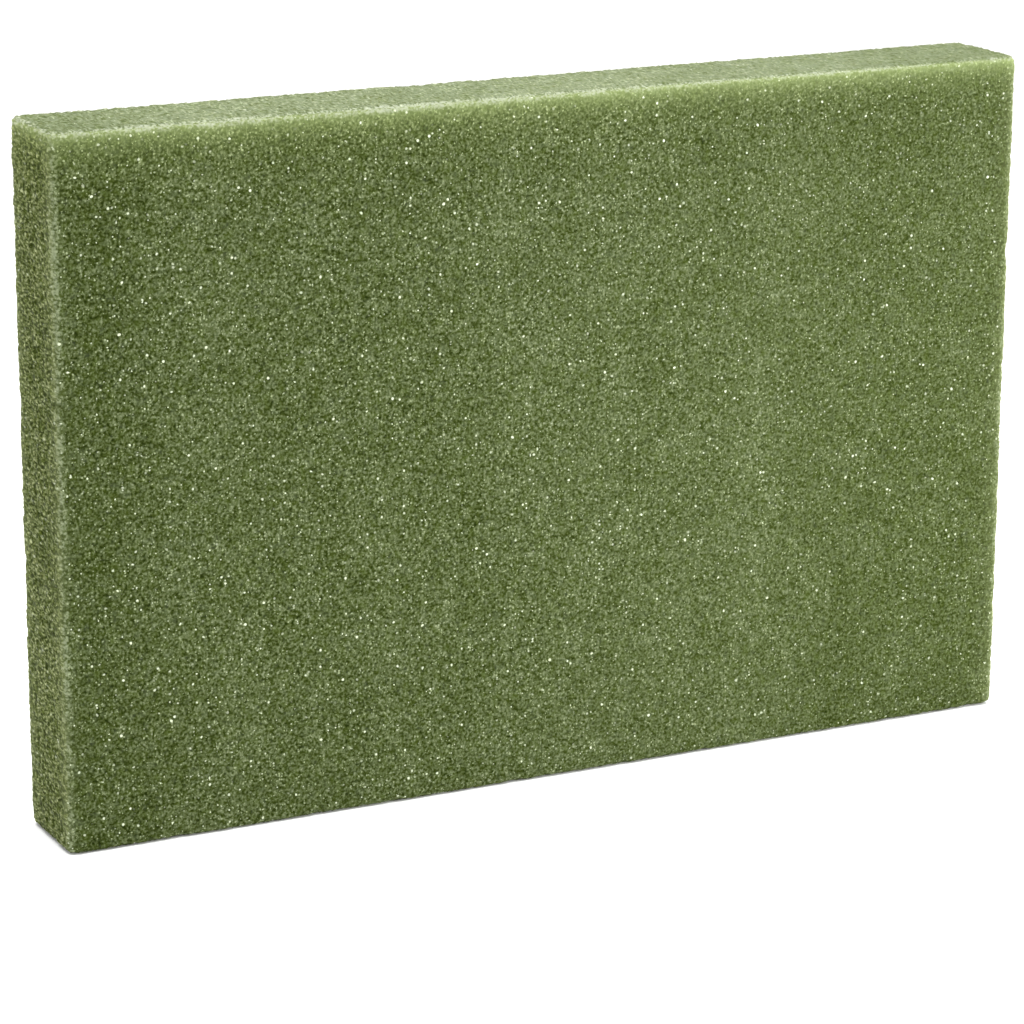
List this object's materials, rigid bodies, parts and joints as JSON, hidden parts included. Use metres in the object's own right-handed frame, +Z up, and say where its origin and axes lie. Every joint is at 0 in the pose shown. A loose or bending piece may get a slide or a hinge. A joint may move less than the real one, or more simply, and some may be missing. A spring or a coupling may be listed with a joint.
{
  "type": "floral foam slab",
  "caption": "Flat rectangular slab of rigid dry floral foam, green and large-celled, that takes stems and picks pushed into its faces.",
  "frame": {"origin": "middle of the long narrow face that the slab stands on", "axes": "+X along the slab's length, +Y from the front broad face to the back one, +Z up"},
  "size_m": [0.454, 0.046, 0.302],
  "materials": {
    "foam": "rigid extruded polystyrene foam, open sparkling cells on the cut faces"
  },
  "bodies": {
    "root": {"foam_slab": "foam"}
  },
  "joints": []
}
